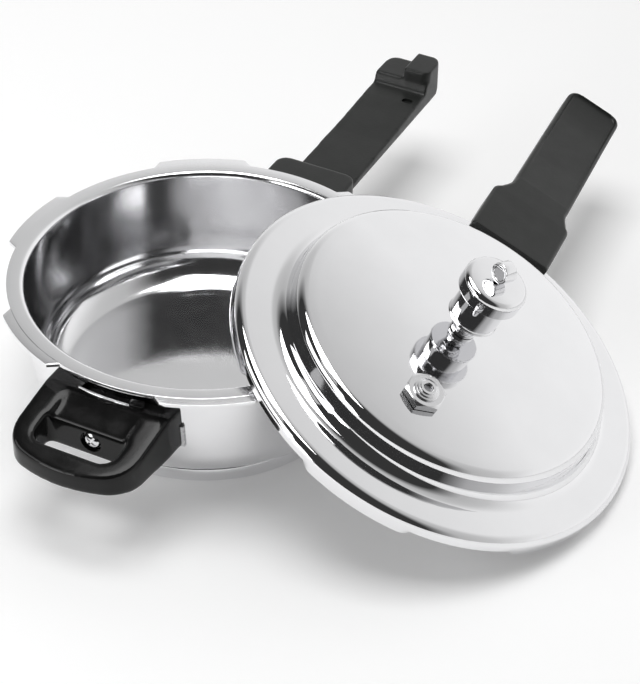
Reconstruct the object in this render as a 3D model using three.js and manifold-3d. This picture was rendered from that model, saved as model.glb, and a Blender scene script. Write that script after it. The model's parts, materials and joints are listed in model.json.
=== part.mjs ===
// Stove-top pressure cooker with a bayonet lid. The lid is off and leans against the rim.
// Millimetres, Z up, origin at the centre of the face that the cooker stands on.
// The long handle points along +Y, the loop handle along -Y, and the lid lies towards +X.
import * as THREE from 'three';
import { mergeVertices } from 'three/addons/utils/BufferGeometryUtils.js';
import Module from 'manifold-3d';

const wasm = await Module();
wasm.setup();
const { Manifold, Mesh } = wasm;

// Clearances
const weldGap = 0.1;
const seatGap = 0.3;
const screwPlay = 0.2;
const floorGap = 0.2;
const leanGap = 0.4;

// Roundness of large, middle and small turned pieces
const largeSides = 48;
const middleSides = 30;
const smallSides = 18;

// Pot
const rimHeight = 80;
const mouthRadius = 98.4;
const potSheet = 2;
const wallDraft = 4.7;
const baseCornerRadius = 16;
const lipRadius = 3;
const flangeReach = 7.6;
const flangeThickness = 2.4;
const flangeFillet = 2;
const bayonetCount = 6;
const potLugReach = 5.4;
const potLugStep = 0.15;
const potLugRootHalf = 14.5;
const potLugTipHalf = 12.2;

// Base under the pot
const baseHeight = 9.4;
const baseRadius = 82;
const baseEdgeRadius = 3.2;
const baseCapSheet = 1;

// Long handle of the pot
const collarHalfWidth = 25.3;
const collarDrop = 10;
const collarHeight = 30;
const collarLength = 36.6;
const collarCorner = 7;
const gripHalfWidth = 19;
const gripTipHalf = 17.6;
const gripDrop = 12.5;
const gripRise = 5.5;
const gripThickness = 15;
const gripSideHeight = 3;
const gripUnderHalf = 11;
const gripLength = 110.5;
const tipLength = 24;
const tipStep = 6;
const tipHighStep = 13;
const tipHighWidth = 18;
const tongueHalfWidth = 11;
const tongueLength = 46;
const bracketSheet = 2.4;
const nutWidth = 9;
const nutHeight = 4;
const screwRadius = 2.5;
const screwHeadRadius = 5;
const screwHeadHeight = 3.2;
const washerRadius = 5.9;
const washerThickness = 1;
const webThickness = 6;

// Loop handle
const loopHalfWidth = 36.5;
const loopDrop = 13;
const loopHeight = 28;
const loopSlope = 16.5;
const loopLength = 51;
const loopBulge = 3;
const loopCorner = 22;
const loopBarWidth = 12.6;
const loopRound = 5;
const loopUnderRise = 2.5;
const loopGrooveHalf = 28;
const loopGrooveDepth = 3;
const fingerGapWidth = 17;
const fingerGapHalf = 24;
const panelDepth = 3;
const strapHalfWidth = 38.5;
const strapHeight = 14;
const strapSheet = 1.8;
const bossHalfWidth = 9;
const bossLength = 9;
const loopScrewDrop = 16.5;

// Lid
const lidSheet = 1.6;
const skirtPlay = 3.3;
const lidLugPlay = 1;
const lidLugHeight = 2.8;
const bayonetPlay = 0.35;
const deepHalf = 14.5;
const skirtCorner = 5;
const ringRise = 0.6;
const ringWidth = 13.3;
const coveRadius = 8;
const plateShoulderRise = 13;
const shoulderRadius = 6.2;
const shoulderEnd = 81;
const plateCrown = 6.7;
const gasketHeight = 2.7;
const gasketWidth = 10;
const gasketPlay = 0.2;
const lidLeanAzimuth = 4.8;
const lidReach = 238.5;
const lidSideways = 5;

// Lid handle
const lidHandleOverlap = 14.8;
const lidHandleLength = 145.7;
const lidHandleWideHalf = 25.5;
const lidHandleWideLength = 24.7;
const lidHandleShoulder = 14;
const lidHandleGripHalf = 18.2;
const lidHandleTipHalf = 16.8;
const lidHandleTipCorner = 8;
const lidHandleTopRise = 9.4;
const lidHandleGripThickness = 14;
const lidHandleWideThickness = 20;
const lidTongueHeight = 7.5;
const lidTongueHalfWidth = 9;
const lidTongueLength = 44;
const lidFootHalfWidth = 13;
const lidScrewRadius = 2;
const lidScrewHeadRadius = 4;
const lidScrewHeadHeight = 2.5;
const lidNutWidth = 7;
const lidNutHeight = 3;
const lidScrewFirst = 11;
const lidScrewSpacing = 20;

// Steam vent
const shankRadius = 5;
const shankLength = 11;
const ventBoreRadius = 1.3;
const ventCollarRadius = 7.5;
const ventNeckRadius = 5.5;
const ventRingRadius = 6.4;
const ventTubeRadius = 4.2;
const ventNeckHeight = 10.4;
const ventTubeHeight = 26;
const sealRadius = 10;
const sealThickness = 1.5;
const ventNutWidth = 17;
const ventNutHeight = 5;

// Weight
const weightBottom = 11;
const weightRadius = 13.75;
const weightLipRadius = 14.2;
const weightHeight = 19;
const weightCapRadius = 17.9;
const weightCapHeight = 11;
const weightCapRound = 3;
const weightBorePlay = 0.4;
const weightBoreSpare = 2;
const needleRadius = 2.3;
const eyeRadius = 5.7;
const eyeHoleRadius = 3.8;
const eyeLength = 7.6;
const eyeLift = 0.9;
const eyeStemRadius = 1.8;
const eyeStemDepth = 4;
const eyeAzimuth = 57;

// Safety valve
const valveOffset = 57;
const valveHexWidth = 20.2;
const valveHexHeight = 4.2;
const valveStepRadii = [7, 5.7, 4.4];
const valveStepHeight = 1;
const valveHoleRadius = 2.5;
const valvePlugDrop = 1.7;
const valveNutWidth = 15;

const rad = THREE.MathUtils.degToRad;
const lugPitch = 360 / bayonetCount;

// Shapes

function polar(cx, cy, radius, angle) {
  return [cx + radius * Math.cos(rad(angle)), cy + radius * Math.sin(rad(angle))];
}

function arc(cx, cy, radius, from, to, steps) {
  return Array.from({ length: steps + 1 }, (_, i) => polar(cx, cy, radius, from + ((to - from) * i) / steps));
}

function signedVolume(position, corners) {
  const [a, b, c] = [new THREE.Vector3(), new THREE.Vector3(), new THREE.Vector3()];
  let six = 0;
  for (let i = 0; i < corners.length; i += 3) {
    a.fromBufferAttribute(position, corners[i]);
    b.fromBufferAttribute(position, corners[i + 1]);
    c.fromBufferAttribute(position, corners[i + 2]);
    six += a.dot(b.cross(c));
  }
  return six / 6;
}

function solidOf(geometry) {
  geometry.deleteAttribute('normal');
  geometry.deleteAttribute('uv');
  const welded = mergeVertices(geometry, 1e-4);
  const position = welded.getAttribute('position');
  const corners = [];
  for (let i = 0; i < welded.index.count; i += 3) {
    const [a, b, c] = [0, 1, 2].map((k) => welded.index.getX(i + k));
    if (a !== b && b !== c && c !== a) corners.push(a, b, c);
  }
  if (signedVolume(position, corners) < 0) corners.reverse();
  return new Manifold(new Mesh({
    numProp: 3,
    vertProperties: new Float32Array(position.array),
    triVerts: new Uint32Array(corners),
  }));
}

// A profile of [radius, height] points that starts and ends on the axis.
function turned(profile, sides) {
  const points = profile.map(([r, z]) => new THREE.Vector2(r, z));
  const geometry = new THREE.LatheGeometry(points, sides);
  geometry.rotateX(Math.PI / 2);
  return solidOf(geometry);
}

// A closed profile that stays off the axis.
function ring(profile, sides) {
  return turned([...profile, profile[0]], sides);
}

function disc(radius, low, high, sides) {
  return turned([[0, low], [radius, low], [radius, high], [0, high]], sides);
}

function slab(outline, low, high, round = 0) {
  const shape = new THREE.Shape(outline.map(([x, y]) => new THREE.Vector2(x, y)));
  const geometry = new THREE.ExtrudeGeometry(shape, {
    depth: high - low - 2 * round,
    bevelEnabled: round > 0,
    bevelThickness: round,
    bevelSize: round,
    bevelOffset: -round,
    bevelSegments: 3,
  });
  geometry.translate(0, 0, low + round);
  return solidOf(geometry);
}

// A side view in [y, z] drawn out along X.
function plank(outline, left, right, round = 0) {
  return slab(outline, left, right, round).transform([0, 1, 0, 0, 0, 0, 1, 0, 1, 0, 0, 0, 0, 0, 0, 1]);
}

function block(x0, x1, y0, y1, z0, z1) {
  return slab([[x0, y0], [x1, y0], [x1, y1], [x0, y1]], z0, z1);
}

function hexagon(width, low, high) {
  return slab(arc(0, 0, width / Math.sqrt(3), 30, 330, 5), low, high);
}

function roundedBox(half, y0, y1, corner) {
  return [
    ...arc(half - corner, y0 + corner, corner, -90, 0, 4),
    ...arc(half - corner, y1 - corner, corner, 0, 90, 4),
    ...arc(-half + corner, y1 - corner, corner, 90, 180, 4),
    ...arc(-half + corner, y0 + corner, corner, 180, 270, 4),
  ];
}

// A flat piece of a ring, narrower at its outer edge, repeated round the axis.
function lugs(inner, root, outer, rootHalf, tipHalf, low, high, firstAngle) {
  const outline = [
    ...arc(0, 0, inner, rootHalf, -rootHalf, 4),
    polar(0, 0, root, -rootHalf),
    ...arc(0, 0, outer, -tipHalf, tipHalf, 5),
    polar(0, 0, root, rootHalf),
  ];
  const one = slab(outline, low, high);
  return Array.from({ length: bayonetCount }, (_, k) => one.rotate([0, 0, firstAngle + k * lugPitch]));
}

function screw(radius, headRadius, headHeight, length) {
  return turned([
    [0, -headHeight], [headRadius * 0.8, -headHeight], [headRadius, -headHeight * 0.7],
    [headRadius, 0], [radius, 0], [radius, length], [0, length],
  ], smallSides);
}

function squareNut(width, height, hole) {
  return block(-width / 2, width / 2, -width / 2, width / 2, 0, height).subtract(disc(hole, -1, height + 1, smallSides));
}

// Tree of named pieces

const colours = { steel: 0xc8cacd, black: 0x141414, rubber: 0x3a3a3a, brass: 0xb08d57, alloy: 0xaeb2b6 };

function add(parent, name, solid, colour) {
  const raw = solid.getMesh();
  const geometry = new THREE.BufferGeometry();
  geometry.setAttribute('position', new THREE.BufferAttribute(raw.vertProperties, 3));
  geometry.setIndex(new THREE.BufferAttribute(raw.triVerts, 1));
  geometry.computeVertexNormals();
  const metal = colour === 'black' || colour === 'rubber' ? 0 : 1;
  const material = new THREE.MeshStandardMaterial({ color: colours[colour], metalness: metal, roughness: 0.3 });
  const mesh = new THREE.Mesh(geometry, material);
  mesh.name = name;
  parent.add(mesh);
}

function groupIn(parent, name) {
  const group = new THREE.Group();
  group.name = name;
  parent.add(group);
  return group;
}

const cooker = new THREE.Group();
cooker.name = 'pressure_cooker';
const pot = groupIn(cooker, 'pot');

// Pot: the wall leans out from a rounded bottom corner up to the rim flange

const draft = rad(wallDraft);
const draftSlope = Math.tan(draft);
const flangeUnder = rimHeight - flangeThickness;
const wallTopRadius = mouthRadius + potSheet;
const flangeRadius = wallTopRadius + flangeReach;
const potLugRadius = flangeRadius + potLugReach;
const cornerHeight = baseHeight + baseCornerRadius;
const outerWall = (z) => wallTopRadius - (flangeUnder - z) * draftSlope;
const cornerTangent = cornerHeight - baseCornerRadius * Math.sin(draft);
const cornerX = outerWall(cornerTangent) - baseCornerRadius * Math.cos(draft);
const innerCorner = baseCornerRadius - potSheet;
const innerWall = (z) => outerWall(z) - potSheet / Math.cos(draft);
const lipHeight = rimHeight - lipRadius;
const potLugUnder = flangeUnder + potLugStep;
const potLugTop = rimHeight - potLugStep;

const potProfile = [
  [0, baseHeight],
  ...arc(cornerX, cornerHeight, baseCornerRadius, -90, -wallDraft, 6),
  [outerWall(flangeUnder - flangeFillet), flangeUnder - flangeFillet],
  [wallTopRadius + flangeFillet, flangeUnder],
  [flangeRadius, flangeUnder],
  [flangeRadius, rimHeight],
  ...arc(innerWall(lipHeight) + lipRadius, lipHeight, lipRadius, 90, 180, 4),
  ...arc(cornerX, cornerHeight, innerCorner, -wallDraft, -90, 5),
  [0, baseHeight + potSheet],
];
const potLugs = lugs(
  flangeRadius - flangeReach / 2, flangeRadius, potLugRadius, potLugRootHalf, potLugTipHalf, potLugUnder, potLugTop, 0,
);
add(pot, 'pot_body', Manifold.union([turned(potProfile, largeSides), ...potLugs]), 'steel');

const capTop = baseHeight - weldGap;
const coreRadius = baseRadius - baseCapSheet - weldGap;
add(pot, 'base_cap', turned([
  [0, 0],
  ...arc(baseRadius - baseEdgeRadius, baseEdgeRadius, baseEdgeRadius, -90, 0, 3),
  [baseRadius, capTop],
  [baseRadius - baseCapSheet, capTop],
  ...arc(baseRadius - baseEdgeRadius, baseEdgeRadius, baseEdgeRadius - baseCapSheet, 0, -90, 2),
  [0, baseCapSheet],
], largeSides), 'steel');
const coreEdge = baseEdgeRadius - baseCapSheet - weldGap;
add(pot, 'base_core', turned([
  [0, baseCapSheet + weldGap],
  ...arc(coreRadius - coreEdge, baseEdgeRadius, coreEdge, -90, 0, 2),
  [coreRadius, capTop],
  [0, capTop],
], largeSides), 'alloy');

// The wall with a layer of the given thickness on it, for cutting what sits against it
function wallCone(layer) {
  const low = cornerHeight;
  const high = flangeUnder - flangeFillet;
  return turned([[0, low], [outerWall(low) + layer, low], [outerWall(high) + layer, high], [0, high]], largeSides);
}

// Long handle: bracket with a tongue, nut on the tongue, screw and washer from below

const collarTop = rimHeight - collarDrop;
const collarUnder = collarTop - collarHeight;
const collarBack = wallTopRadius + collarLength;
const gripTop = collarTop - gripDrop;
const gripTopFar = gripTop + gripRise;
const tipStart = collarBack + gripLength;
const tipEnd = tipStart + tipLength;
const washerSeat = collarUnder + webThickness;
const tongueUnder = washerSeat + webThickness;
const tongueTop = tongueUnder + bracketSheet;
const tongueEnd = wallTopRadius + tongueLength;
const footHalf = tongueHalfWidth + 3;
const footLow = tongueUnder - 8;
const footHigh = tongueTop + 8;
const handleScrewY = wallTopRadius + tongueLength / 2;

const baseFoot = wallCone(weldGap + bracketSheet).subtract(wallCone(weldGap))
  .intersect(block(-footHalf, footHalf, 0, tongueEnd, footLow, footHigh));
const baseTongue = block(-tongueHalfWidth, tongueHalfWidth, outerWall(tongueUnder) - 4, tongueEnd, tongueUnder, tongueTop)
  .subtract(wallCone(weldGap + bracketSheet / 2));
const tongueHole = disc(screwRadius + screwPlay, tongueUnder - 1, tongueTop + 1, smallSides).translate([0, handleScrewY, 0]);
add(pot, 'base_handle_bracket', baseFoot.add(baseTongue).subtract(tongueHole), 'steel');
add(pot, 'base_handle_nut', squareNut(nutWidth, nutHeight, screwRadius + screwPlay)
  .translate([0, handleScrewY, tongueTop + weldGap]), 'steel');
const baseScrewSeat = washerSeat - washerThickness - 2 * weldGap;
add(pot, 'base_handle_screw', screw(
  screwRadius, screwHeadRadius, screwHeadHeight, tongueTop + nutHeight + 1 - baseScrewSeat,
).translate([0, handleScrewY, baseScrewSeat]), 'steel');
const washerHole = disc(screwRadius + screwPlay, -1, washerThickness + 1, smallSides);
const washer = disc(washerRadius, 0, washerThickness, smallSides).subtract(washerHole);
add(pot, 'base_handle_washer', washer.translate([0, handleScrewY, washerSeat - washerThickness - weldGap]), 'steel');

const collar = slab(roundedBox(collarHalfWidth, wallTopRadius - 20, collarBack, collarCorner), collarUnder, collarTop, 2);
const gripSide = [
  [collarBack - 12, gripTop],
  [collarBack + gripLength * 0.5, gripTop + gripRise * 0.42],
  [tipStart - 4, gripTopFar],
  [tipStart, gripTopFar + 1.2],
  [tipStart + 1.4, gripTopFar + tipStep - 1.6],
  [tipStart + 3.4, gripTopFar + tipStep],
  [tipEnd - 4, gripTopFar + tipStep],
  [tipEnd - 1.2, gripTopFar + tipStep - 1.2],
  [tipEnd, gripTopFar + tipStep - 4],
  [tipEnd, gripTopFar - gripThickness * 0.2],
  [tipEnd - 7, gripTopFar - gripThickness * 0.6],
  [tipEnd - tipLength, gripTopFar - gripThickness * 0.9],
  [tipEnd - tipLength * 2, gripTopFar - gripThickness],
  [collarBack - 12, gripTop - gripThickness],
];
const tipSide = [
  [tipStart + 0.8, gripTopFar],
  [tipStart + 1.6, gripTopFar + tipHighStep - 2],
  [tipStart + 3.6, gripTopFar + tipHighStep],
  [tipEnd - 4, gripTopFar + tipHighStep],
  [tipEnd - 1.2, gripTopFar + tipHighStep - 1.2],
  [tipEnd, gripTopFar + tipHighStep - 4],
  [tipEnd, gripTopFar - gripThickness * 0.2],
];
const gripPlan = slab([
  [-gripHalfWidth, collarBack - 13], [gripHalfWidth, collarBack - 13], [gripTipHalf, tipEnd + 1], [-gripTipHalf, tipEnd + 1],
], 0, rimHeight + tipHighStep);
const gripSection = slab([
  [-gripHalfWidth, rimHeight + tipHighStep],
  [-gripHalfWidth, gripTop - gripSideHeight],
  [-gripUnderHalf, gripTop - gripThickness],
  [gripUnderHalf, gripTop - gripThickness],
  [gripHalfWidth, gripTop - gripSideHeight],
  [gripHalfWidth, rimHeight + tipHighStep],
], -tipEnd - 1, 13 - collarBack).rotate([90, 0, 0]);
const grip = plank(gripSide, -gripHalfWidth, gripHalfWidth, 2.4).intersect(gripPlan).intersect(gripSection);
const highTip = plank(tipSide, gripTipHalf - tipHighWidth, gripTipHalf, 1.6);
const slotHalf = tongueHalfWidth + seatGap;
const nutSlotTop = tongueTop + nutHeight + 1 + seatGap;
const tongueSlot = block(-slotHalf, slotHalf, 0, tongueEnd + seatGap, tongueUnder - weldGap, tongueTop + seatGap)
  .add(block(-slotHalf, slotHalf, 0, handleScrewY + nutWidth / 2 + 2, tongueUnder, nutSlotTop));
const footRecess = wallCone(weldGap + bracketSheet + seatGap)
  .intersect(block(-footHalf - seatGap, footHalf + seatGap, 0, tongueEnd, footLow - seatGap, footHigh + seatGap));
const baseCounterbore = disc(washerRadius + seatGap, collarUnder - 20, washerSeat, smallSides)
  .add(disc(screwRadius + screwPlay, collarUnder - 20, tongueTop, smallSides))
  .translate([0, handleScrewY, 0]);
add(pot, 'base_handle', Manifold.union([collar, grip, highTip])
  .subtract(Manifold.union([wallCone(seatGap), tongueSlot, footRecess, baseCounterbore])), 'black');

// Loop handle: strap with a boss, loop, screw and washer seen in the finger gap

const loopTop = rimHeight - loopDrop;
const loopUnder = loopTop - loopHeight;
const loopEnd = -(wallTopRadius + loopLength);
const barInner = loopEnd + loopBarWidth;
const gapInner = barInner + fingerGapWidth;
const loopFall = Math.tan(rad(loopSlope));
const loopFallStart = -wallTopRadius - 4;
const loopTopAt = (y) => loopTop - Math.max(0, loopFallStart - y) * loopFall;
const screwLevel = loopTop - loopScrewDrop;
const strapLow = loopUnder + 1;
const bossEnd = -(wallTopRadius + bossLength);

const strap = wallCone(weldGap + strapSheet).subtract(wallCone(weldGap))
  .intersect(block(-strapHalfWidth, strapHalfWidth, loopEnd, 0, strapLow, strapLow + strapHeight));
const boss = block(-bossHalfWidth, bossHalfWidth, bossEnd, 0, strapLow, screwLevel + bossHalfWidth)
  .subtract(wallCone(weldGap + strapSheet / 2));
const alongY = (solid, level) => solid.rotate([-90, 0, 0]).translate([0, 0, level]);
const bossHole = alongY(disc(screwRadius + screwPlay, bossEnd - 1, -outerWall(screwLevel) - potSheet, smallSides), screwLevel);
add(pot, 'helper_handle_bracket', strap.add(boss).subtract(bossHole), 'steel');

const loopWasherSeat = gapInner + screwHeadHeight + washerThickness + 2 * weldGap;
const loopOutline = [
  ...arc(loopHalfWidth - loopCorner, loopEnd + loopBulge + loopCorner, loopCorner, 0, -72, 5),
  [0, loopEnd],
  ...arc(-loopHalfWidth + loopCorner, loopEnd + loopBulge + loopCorner, loopCorner, -108, -180, 5),
  [-loopHalfWidth, -wallTopRadius * 0.6],
  [loopHalfWidth, -wallTopRadius * 0.6],
];
const loopSide = [
  [-wallTopRadius * 0.6, loopTop],
  [loopFallStart, loopTop],
  [loopEnd + 4, loopTopAt(loopEnd + 4)],
  [loopEnd + 1, loopTopAt(loopEnd) - 2.4],
  [loopEnd, loopTopAt(loopEnd) - 5.5],
  [loopEnd, loopUnder + loopUnderRise + 2],
  [loopEnd + 3, loopUnder + loopUnderRise],
  [-wallTopRadius * 0.6, loopUnder],
];
const panelBack = gapInner + 14;
const panelCut = plank([
  [panelBack, loopTop + 10],
  [panelBack, loopTopAt(panelBack)],
  [gapInner - 0.2, loopTopAt(gapInner) - panelDepth],
  [gapInner - 0.2, loopTop + 10],
], -fingerGapHalf, fingerGapHalf);
const fingerGap = slab(roundedBox(fingerGapHalf, barInner, gapInner, 5), loopUnder - 20, loopTop + 10);
const strapRecess = wallCone(weldGap + strapSheet + seatGap)
  .intersect(block(-loopHalfWidth * 2, loopHalfWidth * 2, loopEnd, 0, loopUnder - 20, strapLow + strapHeight + seatGap));
const bossPocket = block(
  -bossHalfWidth - seatGap, bossHalfWidth + seatGap, bossEnd - seatGap, 0, strapLow - 20, screwLevel + bossHalfWidth + seatGap,
);
const loopCounterbore = alongY(disc(washerRadius + seatGap, gapInner - 1, loopWasherSeat, smallSides)
  .add(disc(screwRadius + screwPlay, gapInner - 1, bossEnd, smallSides)), screwLevel);
const loopGroove = wallCone(loopGrooveDepth + seatGap)
  .intersect(block(-loopGrooveHalf, loopGrooveHalf, loopEnd, 0, loopTop - loopGrooveDepth, loopTop + 5));
add(pot, 'helper_handle', slab(loopOutline, loopUnder, loopTop + loopRound, loopRound)
  .intersect(plank(loopSide, -loopHalfWidth * 2, loopHalfWidth * 2))
  .subtract(Manifold.union([
    panelCut, fingerGap, wallCone(seatGap), loopGroove, strapRecess, bossPocket, loopCounterbore,
  ])), 'black');
const loopWasherFace = loopWasherSeat - weldGap - washerThickness;
add(pot, 'helper_handle_washer', alongY(washer, screwLevel).translate([0, loopWasherFace, 0]), 'steel');
add(pot, 'helper_handle_screw', alongY(screw(
  screwRadius, screwHeadRadius, screwHeadHeight, -outerWall(screwLevel) - potSheet - loopWasherFace,
), screwLevel).translate([0, loopWasherFace - weldGap, 0]), 'steel');

// Lid: sizes follow the pot's flange and lugs, heights count from the deep edge of the skirt

const skirtInner = potLugRadius + skirtPlay;
const skirtRadius = skirtInner + lidSheet;
const lidLugRadius = flangeRadius + lidLugPlay;
const lidLugTop = lidLugHeight + lidSheet;
const gasketUnder = lidLugTop + bayonetPlay + rimHeight - potLugUnder;
const ringUnder = gasketUnder + gasketHeight + seatGap;
const ringTop = ringUnder + lidSheet;
const gasketOuter = potLugRadius - gasketPlay;
const gasketInner = gasketOuter - gasketWidth;
const cornerR = skirtRadius - skirtCorner;
const coveX = cornerR - ringWidth;
const coveHeight = ringTop + ringRise + coveRadius;
const plateRadius = coveX - coveRadius - 0.6;
const shoulderX = plateRadius - shoulderRadius;
const shoulderHeight = ringTop + plateShoulderRise + ringRise;
const [plateEdgeRadius, plateEdgeHeight] = polar(shoulderX, shoulderHeight, shoulderRadius, shoulderEnd);
const plateTop = plateEdgeHeight + plateCrown;
const plateDrop = plateCrown / plateEdgeRadius ** 2;
const plateAt = (r) => plateTop - plateDrop * r * r;

function lidSurface(inset, steps) {
  const dome = [0.66, 0.4, 0.14, 0].map((part) => [part * plateEdgeRadius, plateAt(part * plateEdgeRadius) - inset]);
  return [
    ...arc(cornerR, ringTop - skirtCorner, skirtCorner - inset, 0, 90, steps),
    ...arc(coveX, coveHeight, coveRadius + inset, -90, -180, steps),
    ...arc(shoulderX, shoulderHeight, shoulderRadius - inset, 0, shoulderEnd, steps),
    ...dome,
  ];
}

// The tilt is the smallest that keeps the rim clear of the skirt, the lugs and the gasket

const shallowHalf = lugPitch / 2 - deepHalf;
const lidBandsAll = [
  [skirtInner, skirtRadius, lidLugHeight, ringTop],
  [gasketInner, skirtRadius, gasketUnder, ringTop],
  [plateRadius - lidSheet, cornerR, ringTop - lidSheet, shoulderHeight],
];
const deepBands = [...lidBandsAll, [skirtInner, skirtRadius, 0, ringTop]];
const lugBands = [...lidBandsAll, [lidLugRadius, skirtRadius, lidLugHeight, lidLugTop]];

function fromNearestLug(angle) {
  return Math.abs(angle - lugPitch * Math.round(angle / lugPitch));
}

function lidCentre(tilt) {
  const along = lidReach - skirtRadius * Math.cos(tilt);
  const height = skirtRadius * Math.cos(rad(shallowHalf)) * Math.sin(tilt) + floorGap;
  return new THREE.Vector3(along, lidSideways, height);
}

function rimIsClear(tilt) {
  const centre = lidCentre(tilt);
  const toLid = new THREE.Matrix4().makeRotationY(-tilt);
  const point = new THREE.Vector3();
  for (let turn = 0; turn < 360; turn += 0.5) {
    const outer = fromNearestLug(turn) < potLugRootHalf ? potLugRadius : flangeRadius;
    for (const part of [0, 0.25, 0.5, 0.75, 1]) {
      for (const level of [flangeUnder, rimHeight]) {
        const reach = wallTopRadius + part * (outer - wallTopRadius);
        const angle = rad(turn - lidLeanAzimuth);
        point.set(reach * Math.cos(angle), reach * Math.sin(angle), level).sub(centre).applyMatrix4(toLid);
        const r = Math.hypot(point.x, point.y);
        const bearing = THREE.MathUtils.radToDeg(Math.atan2(point.y, point.x));
        const bands = fromNearestLug(bearing) < shallowHalf ? lugBands : deepBands;
        const hit = bands.some(([r0, r1, h0, h1]) => r > r0 - leanGap && r < r1 + leanGap
          && point.z > h0 - leanGap && point.z < h1 + leanGap);
        if (hit) return false;
      }
    }
  }
  return true;
}

let lowTilt = rad(12);
let lidTilt = rad(45);
for (let i = 0; i < 24; i += 1) {
  const middle = (lowTilt + lidTilt) / 2;
  if (rimIsClear(middle)) lidTilt = middle;
  else lowTilt = middle;
}

const lidSide = groupIn(cooker, 'lid_side');
lidSide.rotation.z = rad(lidLeanAzimuth);
const lid = groupIn(lidSide, 'lid');
lid.position.copy(lidCentre(lidTilt));
lid.rotation.y = lidTilt;

const valveLean = Math.atan(2 * plateDrop * valveOffset);
const valveTurn = THREE.MathUtils.radToDeg(valveLean);
const shankHole = disc(shankRadius + screwPlay, -6, 6, smallSides);
const lidHoles = [
  shankHole.translate([0, 0, plateTop]),
  shankHole.rotate([valveTurn, 0, 0]).translate([0, -valveOffset, plateAt(valveOffset)]),
];
const lidBlank = turned([
  [skirtInner, 0], [skirtRadius, 0], ...lidSurface(0, 4),
  ...lidSurface(lidSheet, 2).reverse(), [skirtInner, 0],
], largeSides);
const skirtCuts = lugs(
  skirtInner - 6, skirtInner, skirtRadius + 6, shallowHalf, shallowHalf, -2, lidLugHeight, 0,
);
const lidLugs = lugs(
  lidLugRadius, skirtInner, skirtInner + lidSheet / 2, shallowHalf - 2, shallowHalf - 2, lidLugHeight, lidLugTop, 0,
);
add(lid, 'lid_shell', Manifold.union([
  lidBlank.subtract(Manifold.union([...skirtCuts, ...lidHoles])), ...lidLugs,
]), 'steel');

const gasketTop = gasketUnder + gasketHeight;
add(lid, 'sealing_ring', ring([
  [gasketInner, gasketUnder], [gasketOuter, gasketUnder], [gasketOuter, gasketTop], [gasketInner, gasketTop],
  [gasketInner, gasketTop - 0.8], [gasketInner + gasketWidth * 0.6, gasketTop - 1.1],
  [gasketInner + gasketWidth * 0.6, gasketUnder + 1.1], [gasketInner, gasketUnder + 0.8],
], largeSides), 'rubber');

// Lid handle: it grips the skirt and the flat ring, with a tongue, two nuts and two screws inside

function lidEnvelope(layer) {
  return turned([
    [0, -20], [skirtRadius + layer, -20],
    ...arc(cornerR, ringTop - skirtCorner, skirtCorner + layer, 0, 90, 5),
    [coveX, ringTop + ringRise + layer], [0, ringTop + ringRise + layer],
  ], largeSides);
}

const handleRoot = skirtRadius - lidHandleOverlap;
const handleEnd = skirtRadius + lidHandleLength;
const wideEnd = skirtRadius + lidHandleWideLength;
const gripStart = wideEnd + lidHandleShoulder;
const handleTop = ringTop + lidHandleTopRise;
const wideUnder = handleTop - lidHandleWideThickness;
const gripUnder = handleTop - lidHandleGripThickness;
const lidTongueTop = lidTongueHeight + bracketSheet;
const lidTongueEnd = skirtRadius + lidTongueLength;
const lidScrewSeat = wideUnder + lidScrewHeadHeight;
const lidScrewPlaces = [0, 1].map((k) => skirtRadius + lidScrewFirst + k * lidScrewSpacing);

const lidFoot = lidEnvelope(seatGap + bracketSheet).subtract(lidEnvelope(seatGap))
  .intersect(block(-lidFootHalfWidth, lidFootHalfWidth, 0, lidTongueEnd, wideUnder + 1, lidTongueTop));
const lidTongue = block(-lidTongueHalfWidth, lidTongueHalfWidth, skirtInner, lidTongueEnd, lidTongueHeight, lidTongueTop)
  .subtract(lidEnvelope(seatGap + bracketSheet / 2));
const lidScrewHoles = lidScrewPlaces.map((y) => disc(lidScrewRadius + screwPlay, wideUnder - 1, handleTop - 4, smallSides)
  .translate([0, y, 0]));
add(lid, 'lid_handle_bracket', lidFoot.add(lidTongue).subtract(Manifold.union(lidScrewHoles)), 'steel');

const handlePlan = [
  [lidHandleWideHalf, handleRoot],
  ...arc(lidHandleWideHalf - 6, wideEnd - 2, 6, 0, 50, 3),
  [lidHandleGripHalf + 1.2, gripStart - 5],
  [lidHandleGripHalf, gripStart],
  ...arc(lidHandleTipHalf - lidHandleTipCorner, handleEnd - lidHandleTipCorner, lidHandleTipCorner, 0, 90, 5),
];
const handleOutline = [...handlePlan, ...handlePlan.map(([x, y]) => [-x, y]).reverse()];
const handleSide = [
  [handleRoot, ringTop], [handleRoot, handleTop - 2], [handleRoot + 2, handleTop],
  [wideEnd, handleTop], [(gripStart + handleEnd) / 2, handleTop - 0.8], [handleEnd - 8, handleTop],
  [handleEnd - 2, handleTop - 1.2], [handleEnd, handleTop - 3.6], [handleEnd, handleTop - 7],
  [handleEnd - 4, handleTop - 10.5], [handleEnd - 14, handleTop - 12.5],
  [gripStart + 8, gripUnder], [wideEnd + 4, wideUnder + 1], [wideEnd, wideUnder], [handleRoot, wideUnder],
];
const lidTongueSlot = block(
  -lidTongueHalfWidth - seatGap, lidTongueHalfWidth + seatGap, 0, lidTongueEnd + seatGap,
  lidTongueHeight - weldGap, lidTongueTop + lidNutHeight + 1 + seatGap,
);
const lidFootRecess = lidEnvelope(seatGap * 2 + bracketSheet).intersect(block(
  -lidFootHalfWidth - seatGap, lidFootHalfWidth + seatGap, 0, lidTongueEnd, wideUnder - 20, lidTongueTop + seatGap,
));
const lidCounterbores = lidScrewPlaces.map((y) => disc(lidScrewHeadRadius + seatGap, wideUnder - 20, lidScrewSeat, smallSides)
  .translate([0, y, 0]));
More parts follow.
